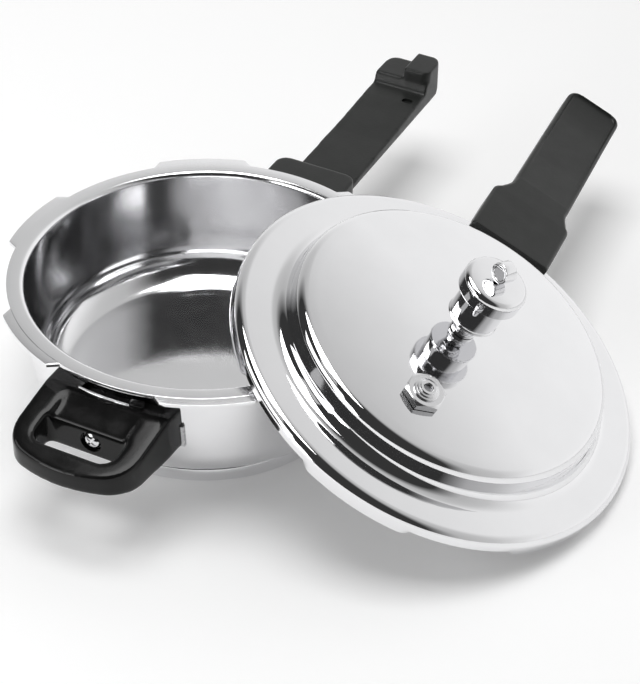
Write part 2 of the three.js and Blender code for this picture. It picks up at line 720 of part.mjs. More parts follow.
add(lid, 'lid_handle', slab(handleOutline, wideUnder - 1, handleTop + 2)
  .intersect(plank(handleSide, -lidHandleWideHalf * 2, lidHandleWideHalf * 2))
  .subtract(Manifold.union([
    lidEnvelope(seatGap), lidTongueSlot, lidFootRecess, ...lidCounterbores, ...lidScrewHoles,
  ])), 'black');
lidScrewPlaces.forEach((y, k) => {
  add(lid, `lid_handle_screw_${k + 1}`, screw(
    lidScrewRadius, lidScrewHeadRadius, lidScrewHeadHeight, lidTongueTop + lidNutHeight + 0.8 - lidScrewSeat,
  ).translate([0, y, lidScrewSeat - weldGap]), 'steel');
  add(lid, `lid_handle_nut_${k + 1}`, squareNut(lidNutWidth, lidNutHeight, lidScrewRadius + screwPlay)
    .translate([0, y, lidTongueTop + weldGap]), 'steel');
});

// Steam vent in the middle of the plate, with its seal and nut below

const vent = groupIn(lid, 'vent');
vent.position.z = plateTop;
const sealTop = -lidSheet - seatGap;
const sealUnder = sealTop - sealThickness;
const nutTop = sealUnder - weldGap;
add(vent, 'vent_tube', ring([
  [ventBoreRadius, -shankLength], [shankRadius, -shankLength], [shankRadius, seatGap],
  [ventCollarRadius, seatGap], [ventCollarRadius, 2.8], [ventNeckRadius, 3.4], [ventNeckRadius, 5.2],
  [ventRingRadius, 5.5], [ventRingRadius, 6.7], [ventNeckRadius, 7], [ventNeckRadius, ventNeckHeight - 0.8],
  [ventTubeRadius, ventNeckHeight], [ventTubeRadius, ventTubeHeight - 2], [ventTubeRadius - 1.2, ventTubeHeight],
  [ventBoreRadius, ventTubeHeight],
], smallSides), 'steel');
const sealRing = (radius) => ring([
  [shankRadius + screwPlay, sealUnder], [radius, sealUnder], [radius, sealTop], [shankRadius + screwPlay, sealTop],
], smallSides);
const hexNut = (width) => hexagon(width, nutTop - ventNutHeight, nutTop)
  .subtract(disc(shankRadius + screwPlay, nutTop - ventNutHeight - 1, nutTop + 1, smallSides));
add(vent, 'vent_seal', sealRing(sealRadius), 'rubber');
add(vent, 'vent_nut', hexNut(ventNutWidth), 'steel');

// Weight: it drops over the vent tube and closes it with a needle

const weightTop = weightBottom + weightHeight;
const boreTop = ventTubeHeight + weightBoreSpare;
const boreRadius = ventTubeRadius + weightBorePlay;
const capUnder = weightTop + weldGap;
const capEdge = capUnder + weightCapHeight - 0.5;
const capHigh = capUnder + weightCapHeight;
add(vent, 'weight_body', ring([
  [boreRadius, weightBottom], [weightLipRadius, weightBottom], [weightLipRadius, weightBottom + 1.2],
  [weightRadius - 0.6, weightBottom + 1.6], [weightRadius - 0.6, weightBottom + 2.4],
  [weightRadius, weightBottom + 2.8], [weightRadius, weightTop],
  [needleRadius + screwPlay, weightTop], [needleRadius + screwPlay, boreTop], [boreRadius, boreTop],
], middleSides), 'steel');
add(vent, 'weight_needle', turned([
  [0, ventTubeHeight - 0.8], [needleRadius - 0.5, boreTop - 0.2], [needleRadius, boreTop - 0.2],
  [needleRadius, weightTop - weldGap], [0, weightTop - weldGap],
], smallSides), 'brass');
add(vent, 'weight_cap', turned([
  [0, capUnder], [weightCapRadius - 0.8, capUnder], [weightCapRadius, capUnder + 0.8],
  ...arc(weightCapRadius - weightCapRound, capEdge - weightCapRound, weightCapRound, 0, 90, 4),
  [eyeStemRadius + screwPlay, capHigh], [eyeStemRadius + screwPlay, capHigh - eyeStemDepth], [0, capHigh - eyeStemDepth],
], middleSides), 'steel');
const eyeCentre = capHigh + eyeLift + eyeRadius;
const eyeTube = ring([
  [eyeHoleRadius, -eyeLength / 2], [eyeRadius, -eyeLength / 2],
  [eyeRadius, eyeLength / 2], [eyeHoleRadius, eyeLength / 2],
], smallSides).rotate([0, 90, eyeAzimuth]).translate([0, 0, eyeCentre]);
const eyeStemTop = eyeCentre - (eyeRadius + eyeHoleRadius) / 2;
add(vent, 'weight_lift_ring', eyeTube.add(
  disc(eyeStemRadius, capHigh - eyeStemDepth + weldGap, eyeStemTop, smallSides),
), 'steel');

// Safety valve, square to the plate

const valve = groupIn(lid, 'safety_valve');
valve.position.set(0, -valveOffset, plateAt(valveOffset));
valve.rotation.x = valveLean;
const stepBase = seatGap + valveHexHeight;
const valveTop = stepBase + valveStepHeight * valveStepRadii.length;
const plugLow = stepBase - valveHexHeight / 2;
const valveSteps = valveStepRadii.map((radius, k) => disc(radius, stepBase - 0.5, stepBase + (k + 1) * valveStepHeight, smallSides));
add(valve, 'safety_valve_body', Manifold.union([
  hexagon(valveHexWidth, seatGap, stepBase), disc(shankRadius, -shankLength, stepBase - 0.5, smallSides), ...valveSteps,
]).subtract(disc(valveHoleRadius, plugLow - weldGap, valveTop + 1, smallSides)), 'steel');
add(valve, 'safety_valve_plug', disc(valveHoleRadius - weldGap, plugLow, valveTop - valvePlugDrop, smallSides), 'alloy');
add(valve, 'safety_valve_seal', sealRing(sealRadius - 1), 'rubber');
add(valve, 'safety_valve_nut', hexNut(valveNutWidth), 'steel');

export default cooker;
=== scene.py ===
# Pressure cooker with its lid off: polished steel, black handles, chrome vent weight.
import json
import math

import bpy
from mathutils import Matrix, Vector


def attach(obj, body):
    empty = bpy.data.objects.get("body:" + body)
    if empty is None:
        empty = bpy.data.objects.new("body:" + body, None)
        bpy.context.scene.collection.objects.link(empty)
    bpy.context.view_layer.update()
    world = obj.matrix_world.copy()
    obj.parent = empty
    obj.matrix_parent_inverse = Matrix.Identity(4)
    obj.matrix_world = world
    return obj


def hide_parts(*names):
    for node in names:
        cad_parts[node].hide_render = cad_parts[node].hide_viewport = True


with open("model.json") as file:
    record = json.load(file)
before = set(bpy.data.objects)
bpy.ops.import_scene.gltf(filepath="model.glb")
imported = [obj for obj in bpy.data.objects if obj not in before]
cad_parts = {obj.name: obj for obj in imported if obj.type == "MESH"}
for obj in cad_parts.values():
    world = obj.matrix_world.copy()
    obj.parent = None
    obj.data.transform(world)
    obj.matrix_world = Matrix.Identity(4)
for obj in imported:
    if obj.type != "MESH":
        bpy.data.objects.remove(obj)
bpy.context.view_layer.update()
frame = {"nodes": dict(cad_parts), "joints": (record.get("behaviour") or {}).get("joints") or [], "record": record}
nodes = frame["nodes"]
mm = 0.001
print("frame loaded")


# selection and modifiers

def deselectAll():
    bpy.ops.object.select_all(action="DESELECT")


def makeActive(piece):
    deselectAll()
    piece.select_set(True)
    bpy.context.view_layer.objects.active = piece


def editAll():
    bpy.ops.object.mode_set(mode="EDIT")
    bpy.ops.mesh.select_all(action="SELECT")


def backToObject():
    bpy.ops.object.mode_set(mode="OBJECT")


def applyModifier(piece, kind, **values):
    makeActive(piece)
    modifier = piece.modifiers.new(kind.title(), kind)
    for key, value in values.items():
        setattr(modifier, key, value)
    bpy.ops.object.modifier_apply(modifier=modifier.name)


def roundEdges(piece, width, segments=3, angle=35):
    applyModifier(
        piece, "BEVEL", width=width * mm, segments=segments,
        limit_method="ANGLE", angle_limit=math.radians(angle),
    )


def bevelChosen(piece, choose, width, segments=1):
    makeActive(piece)
    bpy.ops.object.mode_set(mode="EDIT")
    bpy.ops.mesh.select_mode(type="EDGE")
    bpy.ops.mesh.select_all(action="DESELECT")
    backToObject()
    for edge in piece.data.edges:
        first, second = (piece.data.vertices[i].co / mm for i in edge.vertices)
        edge.select = choose(first, second)
    bpy.ops.object.mode_set(mode="EDIT")
    bpy.ops.mesh.bevel(offset=width * mm, segments=segments, affect="EDGES")
    bpy.ops.mesh.select_mode(type="VERT")
    backToObject()


def softenEdges(piece, grain, passes):
    # even mesh, then smoothed: every edge melts a little, as on a moulding
    applyModifier(piece, "REMESH", mode="VOXEL", voxel_size=grain * mm)
    applyModifier(piece, "SMOOTH", factor=0.5, iterations=passes)


def combine(piece, tool, operation):
    applyModifier(piece, "BOOLEAN", object=tool, operation=operation, solver="EXACT")
    bpy.data.objects.remove(tool)


def joinInto(piece, others):
    deselectAll()
    for other in others:
        other.select_set(True)
    piece.select_set(True)
    bpy.context.view_layer.objects.active = piece
    bpy.ops.object.join()


def settle(piece, place=None, angle=32):
    makeActive(piece)
    if place is not None:
        piece.matrix_world = place
    bpy.ops.object.transform_apply(location=True, rotation=True, scale=True)
    bpy.ops.object.shade_smooth_by_angle(angle=math.radians(angle))


# outlines

def arcPoints(cx, cy, radius, start, end, steps):
    angles = [math.radians(start + (end - start) * i / steps) for i in range(steps + 1)]
    return [(cx + radius * math.cos(a), cy + radius * math.sin(a)) for a in angles]


def chainOfPoints(name, points):
    # one vertex, pulled out along the points
    deselectAll()
    bpy.ops.mesh.primitive_plane_add(size=0.002)
    piece = bpy.context.object
    piece.name = name
    piece.data.name = name
    editAll()
    bpy.ops.mesh.merge(type="CENTER")
    bpy.ops.transform.translate(value=points[0])
    last = Vector(points[0])
    for point in points[1:]:
        bpy.ops.mesh.extrude_vertices_move(TRANSFORM_OT_translate={"value": Vector(point) - last})
        last = Vector(point)
    return piece


def turnPiece(name, profile, steps=192, closed=False):
    # profile of (radius, height) in millimetres, spun round Z
    points = [(r * mm, 0, z * mm) for r, z in profile]
    if closed:
        points.append(points[0])
    piece = chainOfPoints(name, points)
    bpy.ops.mesh.select_all(action="SELECT")
    bpy.ops.mesh.spin(steps=steps, angle=2 * math.pi, center=(0, 0, 0), axis=(0, 0, 1))
    bpy.ops.mesh.select_all(action="SELECT")
    bpy.ops.mesh.remove_doubles(threshold=2e-6)
    bpy.ops.mesh.normals_make_consistent(inside=False)
    backToObject()
    return piece


def prism(name, outline, along, low, high):
    # outline of (a, b) in millimetres, drawn out along X, Y or Z from low to high
    if along == "X":
        points = [(low * mm, a * mm, b * mm) for a, b in outline]
        step = ((high - low) * mm, 0, 0)
    elif along == "Y":
        points = [(a * mm, low * mm, b * mm) for a, b in outline]
        step = (0, (high - low) * mm, 0)
    else:
        points = [(a * mm, b * mm, low * mm) for a, b in outline]
        step = (0, 0, (high - low) * mm)
    piece = chainOfPoints(name, points)
    bpy.ops.mesh.select_all(action="SELECT")
    bpy.ops.mesh.edge_face_add()
    bpy.ops.mesh.extrude_region_move(TRANSFORM_OT_translate={"value": step})
    bpy.ops.mesh.select_all(action="SELECT")
    bpy.ops.mesh.normals_make_consistent(inside=False)
    backToObject()
    return piece


def roundedRectangle(half, y0, y1, corner, steps=6):
    return (
        arcPoints(half - corner, y0 + corner, corner, -90, 0, steps)
        + arcPoints(half - corner, y1 - corner, corner, 0, 90, steps)
        + arcPoints(-half + corner, y1 - corner, corner, 90, 180, steps)
        + arcPoints(-half + corner, y0 + corner, corner, 180, 270, steps)
    )


def fromNearest(angle, pitch):
    return abs(angle - pitch * round(angle / pitch))


# places: the lid's own axes come from its turning joint

lidJoint = next(j for j in frame["joints"] if j["name"] == "lid_turn")
lidAxis = Vector(lidJoint["axis"])
lidPlace = (
    Matrix.Translation(Vector(lidJoint["pos_m"]))
    @ Matrix.Rotation(math.atan2(lidAxis.y, lidAxis.x), 4, "Z")
    @ Matrix.Rotation(math.acos(lidAxis.z), 4, "Y")
)
potPlace = Matrix.Identity(4)


# materials

def newMaterial(name):
    material = bpy.data.materials.new(name)
    material.use_nodes = True
    tree = material.node_tree
    return material, tree, tree.nodes["Principled BSDF"]


def ownCoordinates(tree, place):
    coordinates = tree.nodes.new("ShaderNodeTexCoord")
    mapping = tree.nodes.new("ShaderNodeMapping")
    back = place.inverted()
    mapping.inputs["Location"].default_value = back.to_translation()
    mapping.inputs["Rotation"].default_value = back.to_euler()
    tree.links.new(coordinates.outputs["Object"], mapping.inputs["Vector"])
    return mapping.outputs["Vector"]


def noiseNode(tree, vector, scale, detail=4.0, roughness=0.55):
    noise = tree.nodes.new("ShaderNodeTexNoise")
    noise.inputs["Scale"].default_value = scale
    noise.inputs["Detail"].default_value = detail
    noise.inputs["Roughness"].default_value = roughness
    tree.links.new(vector, noise.inputs["Vector"])
    return noise.outputs["Fac"]


def spread(tree, value, low, high):
    remap = tree.nodes.new("ShaderNodeMapRange")
    remap.inputs["From Min"].default_value = 0.3
    remap.inputs["From Max"].default_value = 0.7
    remap.inputs["To Min"].default_value = low
    remap.inputs["To Max"].default_value = high
    tree.links.new(value, remap.inputs["Value"])
    return remap.outputs["Result"]


def tint(tree, value, dark, light):
    ramp = tree.nodes.new("ShaderNodeValToRGB")
    ramp.color_ramp.elements[0].position = 0.3
    ramp.color_ramp.elements[0].color = (*dark, 1)
    ramp.color_ramp.elements[1].position = 0.7
    ramp.color_ramp.elements[1].color = (*light, 1)
    tree.links.new(value, ramp.inputs["Fac"])
    return ramp.outputs["Color"]


def bumpFrom(tree, shader, height, strength, distance):
    bump = tree.nodes.new("ShaderNodeBump")
    bump.inputs["Strength"].default_value = strength
    bump.inputs["Distance"].default_value = distance
    tree.links.new(height, bump.inputs["Height"])
    tree.links.new(bump.outputs["Normal"], shader.inputs["Normal"])


def satinTop(tree, vector, shine, height):
    # the flat top of the rim is brushed, not buffed
    parts = tree.nodes.new("ShaderNodeSeparateXYZ")
    tree.links.new(vector, parts.inputs["Vector"])
    edge = tree.nodes.new("ShaderNodeMapRange")
    edge.inputs["From Min"].default_value = (height - 0.4) * mm
    edge.inputs["From Max"].default_value = height * mm
    edge.inputs["To Min"].default_value = 0.0
    edge.inputs["To Max"].default_value = 0.10
    tree.links.new(parts.outputs["Z"], edge.inputs["Value"])
    total = tree.nodes.new("ShaderNodeMath")
    total.operation = "ADD"
    tree.links.new(shine, total.inputs[0])
    tree.links.new(edge.outputs["Result"], total.inputs[1])
    return total.outputs["Value"]


def polishedSteel(
    name, place, rough=(0.05, 0.10), dark=(0.70, 0.70, 0.71), light=(0.80, 0.80, 0.81),
    lines=0.02, satinAbove=None,
):
    # turned and buffed sheet: faint rings round the axis, a little uneven shine
    material, tree, shader = newMaterial(name)
    vector = ownCoordinates(tree, place)
    shader.inputs["Metallic"].default_value = 1.0
    cloud = noiseNode(tree, vector, 35.0, 3.0)
    tree.links.new(tint(tree, cloud, dark, light), shader.inputs["Base Color"])
    smear = noiseNode(tree, vector, 90.0, 5.0)
    shine = spread(tree, smear, *rough)
    if satinAbove is not None:
        shine = satinTop(tree, vector, shine, satinAbove)
    tree.links.new(shine, shader.inputs["Roughness"])
    rings = tree.nodes.new("ShaderNodeTexWave")
    rings.wave_type = "RINGS"
    rings.rings_direction = "Z"
    rings.inputs["Scale"].default_value = 380.0
    rings.inputs["Distortion"].default_value = 3.0
    rings.inputs["Detail"].default_value = 2.0
    tree.links.new(vector, rings.inputs["Vector"])
    bumpFrom(tree, shader, rings.outputs["Fac"], lines, 0.0001)
    return material


def mouldedBlack(name, rough, dark, light, grain, gleam, coat=0.0):
    # moulded handle plastic with a fine skin
    material, tree, shader = newMaterial(name)
    vector = ownCoordinates(tree, potPlace)
    cloud = noiseNode(tree, vector, 60.0, 4.0)
    tree.links.new(tint(tree, cloud, dark, light), shader.inputs["Base Color"])
    smear = noiseNode(tree, vector, 140.0, 5.0)
    tree.links.new(spread(tree, smear, *rough), shader.inputs["Roughness"])
    shader.inputs["Specular IOR Level"].default_value = gleam
    shader.inputs["Coat Weight"].default_value = coat
    shader.inputs["Coat Roughness"].default_value = 0.12
    skin = noiseNode(tree, vector, 900.0, 2.0)
    bumpFrom(tree, shader, skin, grain, 0.0002)
    return material


def plainMetal(name, dark, light, rough, grain=0.08):
    material, tree, shader = newMaterial(name)
    vector = ownCoordinates(tree, potPlace)
    shader.inputs["Metallic"].default_value = 1.0
    cloud = noiseNode(tree, vector, 220.0, 4.0)
    tree.links.new(tint(tree, cloud, dark, light), shader.inputs["Base Color"])
    tree.links.new(spread(tree, cloud, *rough), shader.inputs["Roughness"])
    bumpFrom(tree, shader, noiseNode(tree, vector, 1500.0, 2.0), grain, 0.0001)
    return material


def greyRubber(name):
    material, tree, shader = newMaterial(name)
    vector = ownCoordinates(tree, lidPlace)
    cloud = noiseNode(tree, vector, 120.0, 4.0)
    grey = tint(tree, cloud, (0.055, 0.055, 0.056), (0.085, 0.085, 0.086))
    tree.links.new(grey, shader.inputs["Base Color"])
    tree.links.new(spread(tree, cloud, 0.55, 0.75), shader.inputs["Roughness"])
    bumpFrom(tree, shader, noiseNode(tree, vector, 700.0, 3.0), 0.2, 0.0002)
    return material


potSteel = polishedSteel(
    "potSteel", potPlace, rough=(0.09, 0.14), dark=(0.83, 0.83, 0.84), light=(0.86, 0.86, 0.87),
    satinAbove=79.8,
)
lidSteel = polishedSteel(
    "lidSteel", lidPlace, rough=(0.035, 0.06), dark=(0.82, 0.82, 0.83), light=(0.845, 0.845, 0.855),
    lines=0.012,
)
weightChrome = polishedSteel(
    "weightChrome", lidPlace, rough=(0.03, 0.06), dark=(0.78, 0.78, 0.79), light=(0.83, 0.83, 0.84),
)
ventSteel = polishedSteel(
    "ventSteel", lidPlace, rough=(0.10, 0.15), dark=(0.78, 0.78, 0.79), light=(0.83, 0.83, 0.84),
)
valveSteel = polishedSteel("valveSteel", lidPlace, rough=(0.14, 0.22), lines=0.03)
screwSteel = polishedSteel("screwSteel", potPlace, rough=(0.10, 0.18))
bracketSteel = plainMetal("bracketSteel", (0.50, 0.50, 0.51), (0.62, 0.62, 0.63), (0.22, 0.34))
coreAlloy = plainMetal("coreAlloy", (0.58, 0.59, 0.60), (0.68, 0.69, 0.70), (0.35, 0.5))
plugAlloy = plainMetal("plugAlloy", (0.26, 0.26, 0.27), (0.36, 0.36, 0.37), (0.4, 0.55))
needleBrass = plainMetal("needleBrass", (0.60, 0.44, 0.20), (0.70, 0.54, 0.28), (0.2, 0.32))
handleBlack = mouldedBlack(
    "handleBlack", rough=(0.30, 0.40), dark=(0.012, 0.013, 0.012), light=(0.018, 0.019, 0.018),
    grain=0.25, gleam=0.32,
)
loopBlack = mouldedBlack(
    "loopBlack", rough=(0.12, 0.20), dark=(0.005, 0.005, 0.005), light=(0.008, 0.008, 0.008),
    grain=0.05, gleam=0.22, coat=0.1,
)
gasketRubber = greyRubber("gasketRubber")

slotMaterials = {
    "polished_steel": potSteel,
    "plain_steel": bracketSteel,
    "turned_chrome": weightChrome,
    "core_alloy": coreAlloy,
    "plug_alloy": plugAlloy,
    "needle_brass": needleBrass,
    "black_phenolic": handleBlack,
    "black_gloss": loopBlack,
    "grey_rubber": gasketRubber,
}
for entry in frame["record"]["subparts"]:
    carried = nodes[entry["node"]]
    carried.data.materials.clear()
    carried.data.materials.append(slotMaterials[entry["material_slot"]])
print("materials made")


def fitPiece(piece, body, slotName, material, *replaced):
    piece.data.materials.clear()
    piece.data.materials.append(material)
    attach(piece, body)
    if replaced:
        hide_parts(*replaced)


# pot: wall, rounded bottom corner, lip and flange with six lugs

potSize = {
    "rim": 80, "wallTop": 100.4, "sheet": 2, "draft": 4.7, "bottom": 9.4, "corner": 24,
    "lip": 3, "flange": 108, "flangeThick": 2.4, "fillet": 2.2, "step": 0.15,
    "lugRadius": 113.28, "lugRoot": 14.5, "lugTip": 12.2, "lugPitch": 60,
}


def potOuterWall(z):
    s = potSize
    return s["wallTop"] - (s["rim"] - s["flangeThick"] - z) * math.tan(math.radians(s["draft"]))


def potProfile():
    s = potSize
    draft = math.radians(s["draft"])
    under = s["rim"] - s["flangeThick"]
    cornerZ = s["bottom"] + s["corner"]
    cornerX = potOuterWall(cornerZ - s["corner"] * math.sin(draft)) - s["corner"] * math.cos(draft)
    lipZ = s["rim"] - s["lip"]
    innerAtLip = potOuterWall(lipZ) - s["sheet"] / math.cos(draft)
    filletX = potOuterWall(under - s["fillet"]) + s["fillet"]
    return (
        [(0, s["bottom"]), (cornerX * 0.5, s["bottom"])]
        + arcPoints(cornerX, cornerZ, s["corner"], -90, -s["draft"], 16)
        + [(potOuterWall(z), z) for z in (40, 55, 68)]
        + arcPoints(filletX, under - s["fillet"], s["fillet"], 180, 90, 6)
        + [(s["flange"] - s["step"], under), (s["flange"], under + s["step"])]
        + [(s["flange"], s["rim"] - s["step"]), (s["flange"] - s["step"], s["rim"])]
        + arcPoints(innerAtLip + s["lip"], lipZ, s["lip"], 90, 180, 10)
        + [(potOuterWall(z) - s["sheet"] / math.cos(draft), z) for z in (68, 55, 40)]
        + arcPoints(cornerX, cornerZ, s["corner"] - s["sheet"], -s["draft"], -90, 14)
        + [(cornerX * 0.5, s["bottom"] + s["sheet"]), (0, s["bottom"] + s["sheet"])]
    )


def pullLugs(piece):
    # the edge faces inside each lug's angle are pulled out, then narrowed towards the tip
    s = potSize
    for face in piece.data.polygons:
        x, y, _ = face.center
        edge = math.hypot(x, y) > (s["flange"] - 0.35) * mm and abs(face.normal.z) < 0.2
        turn = math.degrees(math.atan2(y, x))
        face.select = edge and fromNearest(turn, s["lugPitch"]) < s["lugRoot"]
    bpy.ops.object.mode_set(mode="EDIT")
    bpy.ops.mesh.extrude_region_move()
    grow = s["lugRadius"] / s["flange"]
    bpy.ops.transform.resize(value=(grow, grow, 1), center_override=(0, 0, 0))
    backToObject()
    for vertex in piece.data.vertices:
        radius = math.hypot(vertex.co.x, vertex.co.y)
        if radius > (s["flange"] + 1) * mm:
            turn = math.degrees(math.atan2(vertex.co.y, vertex.co.x))
            middle = s["lugPitch"] * round(turn / s["lugPitch"])
            turn = math.radians(middle + (turn - middle) * s["lugTip"] / s["lugRoot"])
            vertex.co.x = radius * math.cos(turn)
            vertex.co.y = radius * math.sin(turn)


potShell = turnPiece("potShell", potProfile(), 240)
for polygon in potShell.data.polygons:
    polygon.select = False
bpy.ops.object.mode_set(mode="EDIT")
bpy.ops.mesh.select_mode(type="FACE")
bpy.ops.mesh.select_all(action="DESELECT")
backToObject()
pullLugs(potShell)
bpy.ops.object.mode_set(mode="EDIT")
bpy.ops.mesh.select_mode(type="VERT")
backToObject()
roundEdges(potShell, 0.3, 2, 40)
settle(potShell)
fitPiece(potShell, "pot", "polished_steel", potSteel, "pot_body")

baseSize = {"radius": 82, "top": 9.3, "edge": 2.6, "sheet": 1}


def baseProfile():
    s = baseSize
    middle = s["radius"] - s["edge"]
    return (
        [(0, 0), (40, 0)]
        + arcPoints(middle, s["edge"], s["edge"], -90, 0, 10)
        + [(s["radius"], s["top"] - 0.5), (s["radius"] - 0.3, s["top"])]
        + [(s["radius"] - s["sheet"], s["top"])]
        + arcPoints(middle, s["edge"], s["edge"] - s["sheet"], 0, -90, 6)
        + [(40, s["sheet"]), (0, s["sheet"])]
    )


baseCap = turnPiece("baseCap", baseProfile(), 192)
settle(baseCap)
fitPiece(baseCap, "pot", "polished_steel", potSteel, "base_cap")
print("pot made")


# lid: skirt with deep and shallow parts, inward lugs, ring, cove and domed plate

lidSize = {
    "sheet": 1.6, "skirt": 118.2, "skirtFold": 4.2, "ringTop": 11.6, "corner": 5,
    "coveX": 100, "cove": 8, "ringRise": 0.6,
    "plate": 91.4, "shoulder": 6.2, "shoulderZ": 25.2, "shoulderEnd": 81, "crown": 6.7, "hole": 5.2,
    "shallow": 15.5, "shallowRise": 2.8, "shallowIn": 0.988,
    "lugInner": 109, "lugHalf": 13.5, "pitch": 60,
}
shoulderTurn = math.radians(lidSize["shoulderEnd"])
plateEdge = (
    lidSize["plate"] - lidSize["shoulder"] + lidSize["shoulder"] * math.cos(shoulderTurn),
    lidSize["shoulderZ"] + lidSize["shoulder"] * math.sin(shoulderTurn),
)
plateTop = plateEdge[1] + lidSize["crown"]


def plateAt(radius):
    return plateTop - lidSize["crown"] * (radius / plateEdge[0]) ** 2


def lidSurface(inset, steps):
    s = lidSize
    cornerX = s["skirt"] - s["corner"]
    coveZ = s["ringTop"] + s["ringRise"] + s["cove"]
    shoulderX = s["plate"] - s["shoulder"]
    parts = (0.94, 0.85, 0.75, 0.65, 0.55, 0.45, 0.35, 0.25, 0.15)
    dome = [plateEdge[0] * part for part in parts] + [s["hole"]]
    return (
        arcPoints(cornerX, s["ringTop"] - s["corner"], s["corner"] - inset, 0, 90, steps)
        + arcPoints(s["coveX"], coveZ, s["cove"] + inset, -90, -180, steps + 4)
        + arcPoints(shoulderX, s["shoulderZ"], s["shoulder"] - inset, 0, s["shoulderEnd"], steps + 2)
        + [(r, plateAt(r) - inset) for r in dome]
    )


def lidProfile():
    s = lidSize
    inner = s["skirt"] - s["sheet"]
    edge = s["sheet"] / 2
    return (
        arcPoints(inner + edge, edge, edge, 180, 360, 6)
        + [(s["skirt"], s["skirtFold"])]
        + lidSurface(0, 10)
        + list(reversed(lidSurface(s["sheet"], 8)))
        + [(inner, s["skirtFold"])]
    )


lidShell = turnPiece("lidShell", lidProfile(), 288, closed=True)
for vertex in lidShell.data.vertices:
    turn = math.degrees(math.atan2(vertex.co.y, vertex.co.x))
    away = fromNearest(turn, lidSize["pitch"])
    if vertex.co.z < 2 * mm and away < lidSize["shallow"]:
        ease = min(1.0, (lidSize["shallow"] - away) / 2.0)
        vertex.co.z += lidSize["shallowRise"] * ease * mm
        vertex.co.x *= 1 - (1 - lidSize["shallowIn"]) * ease
        vertex.co.y *= 1 - (1 - lidSize["shallowIn"]) * ease


def lidLug():
    s = lidSize
    low, high = s["shallowRise"], s["shallowRise"] + s["sheet"]
    outer = s["skirt"] * s["shallowIn"] - s["sheet"] / 2
    points = [(s["lugInner"], low), (outer, low), (outer, high), (s["lugInner"], high)]
    lug = chainOfPoints("lidLug", [(r * mm, 0, z * mm) for r, z in points])
    bpy.ops.mesh.select_all(action="SELECT")
    bpy.ops.mesh.edge_face_add()
    bpy.ops.mesh.spin(steps=14, angle=math.radians(2 * s["lugHalf"]), center=(0, 0, 0), axis=(0, 0, 1))
    bpy.ops.mesh.select_all(action="SELECT")
    bpy.ops.mesh.remove_doubles(threshold=2e-6)
    bpy.ops.mesh.normals_make_consistent(inside=False)
    backToObject()
    roundEdges(lug, 0.4, 2, 50)
    xs = [math.atan2(v.co.y, v.co.x) for v in lug.data.vertices]
    lug.data.transform(Matrix.Rotation(-(max(xs) + min(xs)) / 2, 4, "Z"))
    return lug


firstLug = lidLug()
lugCopies = []
for k in range(6):
    copy = firstLug.copy()
    copy.data = firstLug.data.copy()
    copy.data.transform(Matrix.Rotation(math.radians(lidSize["pitch"] * k), 4, "Z"))
    bpy.context.collection.objects.link(copy)
    lugCopies.append(copy)
bpy.data.objects.remove(firstLug)
joinInto(lidShell, lugCopies)
settle(lidShell, lidPlace)
fitPiece(lidShell, "lid", "polished_steel", lidSteel, "lid_shell")

gasketSize = {"inner": 103.2, "outer": 113.2, "low": 7.0, "high": 9.7, "grooveX": 109.2}


def gasketProfile():
    s = gasketSize
    middle = (s["low"] + s["high"]) / 2
    return (
        arcPoints(s["inner"] + 0.4, s["low"] + 0.4, 0.4, 180, 270, 3)
        + arcPoints(s["outer"] - 0.5, s["low"] + 0.5, 0.5, -90, 0, 3)
        + arcPoints(s["outer"] - 0.5, s["high"] - 0.5, 0.5, 0, 90, 3)
        + arcPoints(s["inner"] + 0.4, s["high"] - 0.4, 0.4, 90, 180, 3)
        + [(s["inner"] + 0.3, s["high"] - 0.8), (s["grooveX"], middle + 0.3), (s["grooveX"], middle - 0.3)]
        + [(s["inner"] + 0.3, s["low"] + 0.8)]
    )


gasket = turnPiece("gasket", gasketProfile(), 192, closed=True)
settle(gasket, lidPlace)
fitPiece(gasket, "seal", "grey_rubber", gasketRubber, "sealing_ring")
print("lid made")


# vent with its ringed neck, and the weight that sits on it

ventPlace = lidPlace @ Matrix.Translation((0, 0, plateTop * mm))
ventSize = {
    "bore": 1.3, "shank": 5, "bottom": -11, "collar": 7.5, "neck": 5.5, "ring": 6.4, "tube": 4.2, "top": 26,
}


def ventProfile():
    s = ventSize
    return (
        [(s["bore"], s["bottom"]), (s["shank"] - 0.5, s["bottom"]), (s["shank"], s["bottom"] + 0.5)]
        + [(s["shank"], 0.3), (s["collar"] - 0.3, 0.3)]
        + arcPoints(s["collar"] - 0.5, 2.3, 0.5, 0, 90, 4)
        + arcPoints(s["neck"] + 0.7, 3.5, 0.7, 270, 180, 4)
        + [(s["neck"], 5.0)]
        + arcPoints(s["ring"] - 0.6, 5.9, 0.6, -90, 90, 8)
        + [(s["neck"], 7.0), (s["neck"], 9.2), (s["tube"] + 0.3, 10.1), (s["tube"], 10.4)]
        + [(s["tube"], s["top"] - 2)]
        + [(s["tube"] - 1.2, s["top"] - 0.2), (s["tube"] - 1.5, s["top"]), (s["bore"] + 0.2, s["top"])]
        + [(s["bore"], s["top"] - 0.3)]
    )


ventTube = turnPiece("ventTube", ventProfile(), 64, closed=True)
settle(ventTube, ventPlace)
fitPiece(ventTube, "lid", "turned_chrome", ventSteel, "vent_tube")

weightSize = {
    "low": 11, "high": 30, "radius": 13.75, "lip": 14.2, "bore": 4.6, "boreTop": 28, "pin": 2.5,
    "capRadius": 17.9, "capLow": 30.1, "capHigh": 41.1, "capRound": 3.2, "stem": 2.0, "stemLow": 37.1,
}


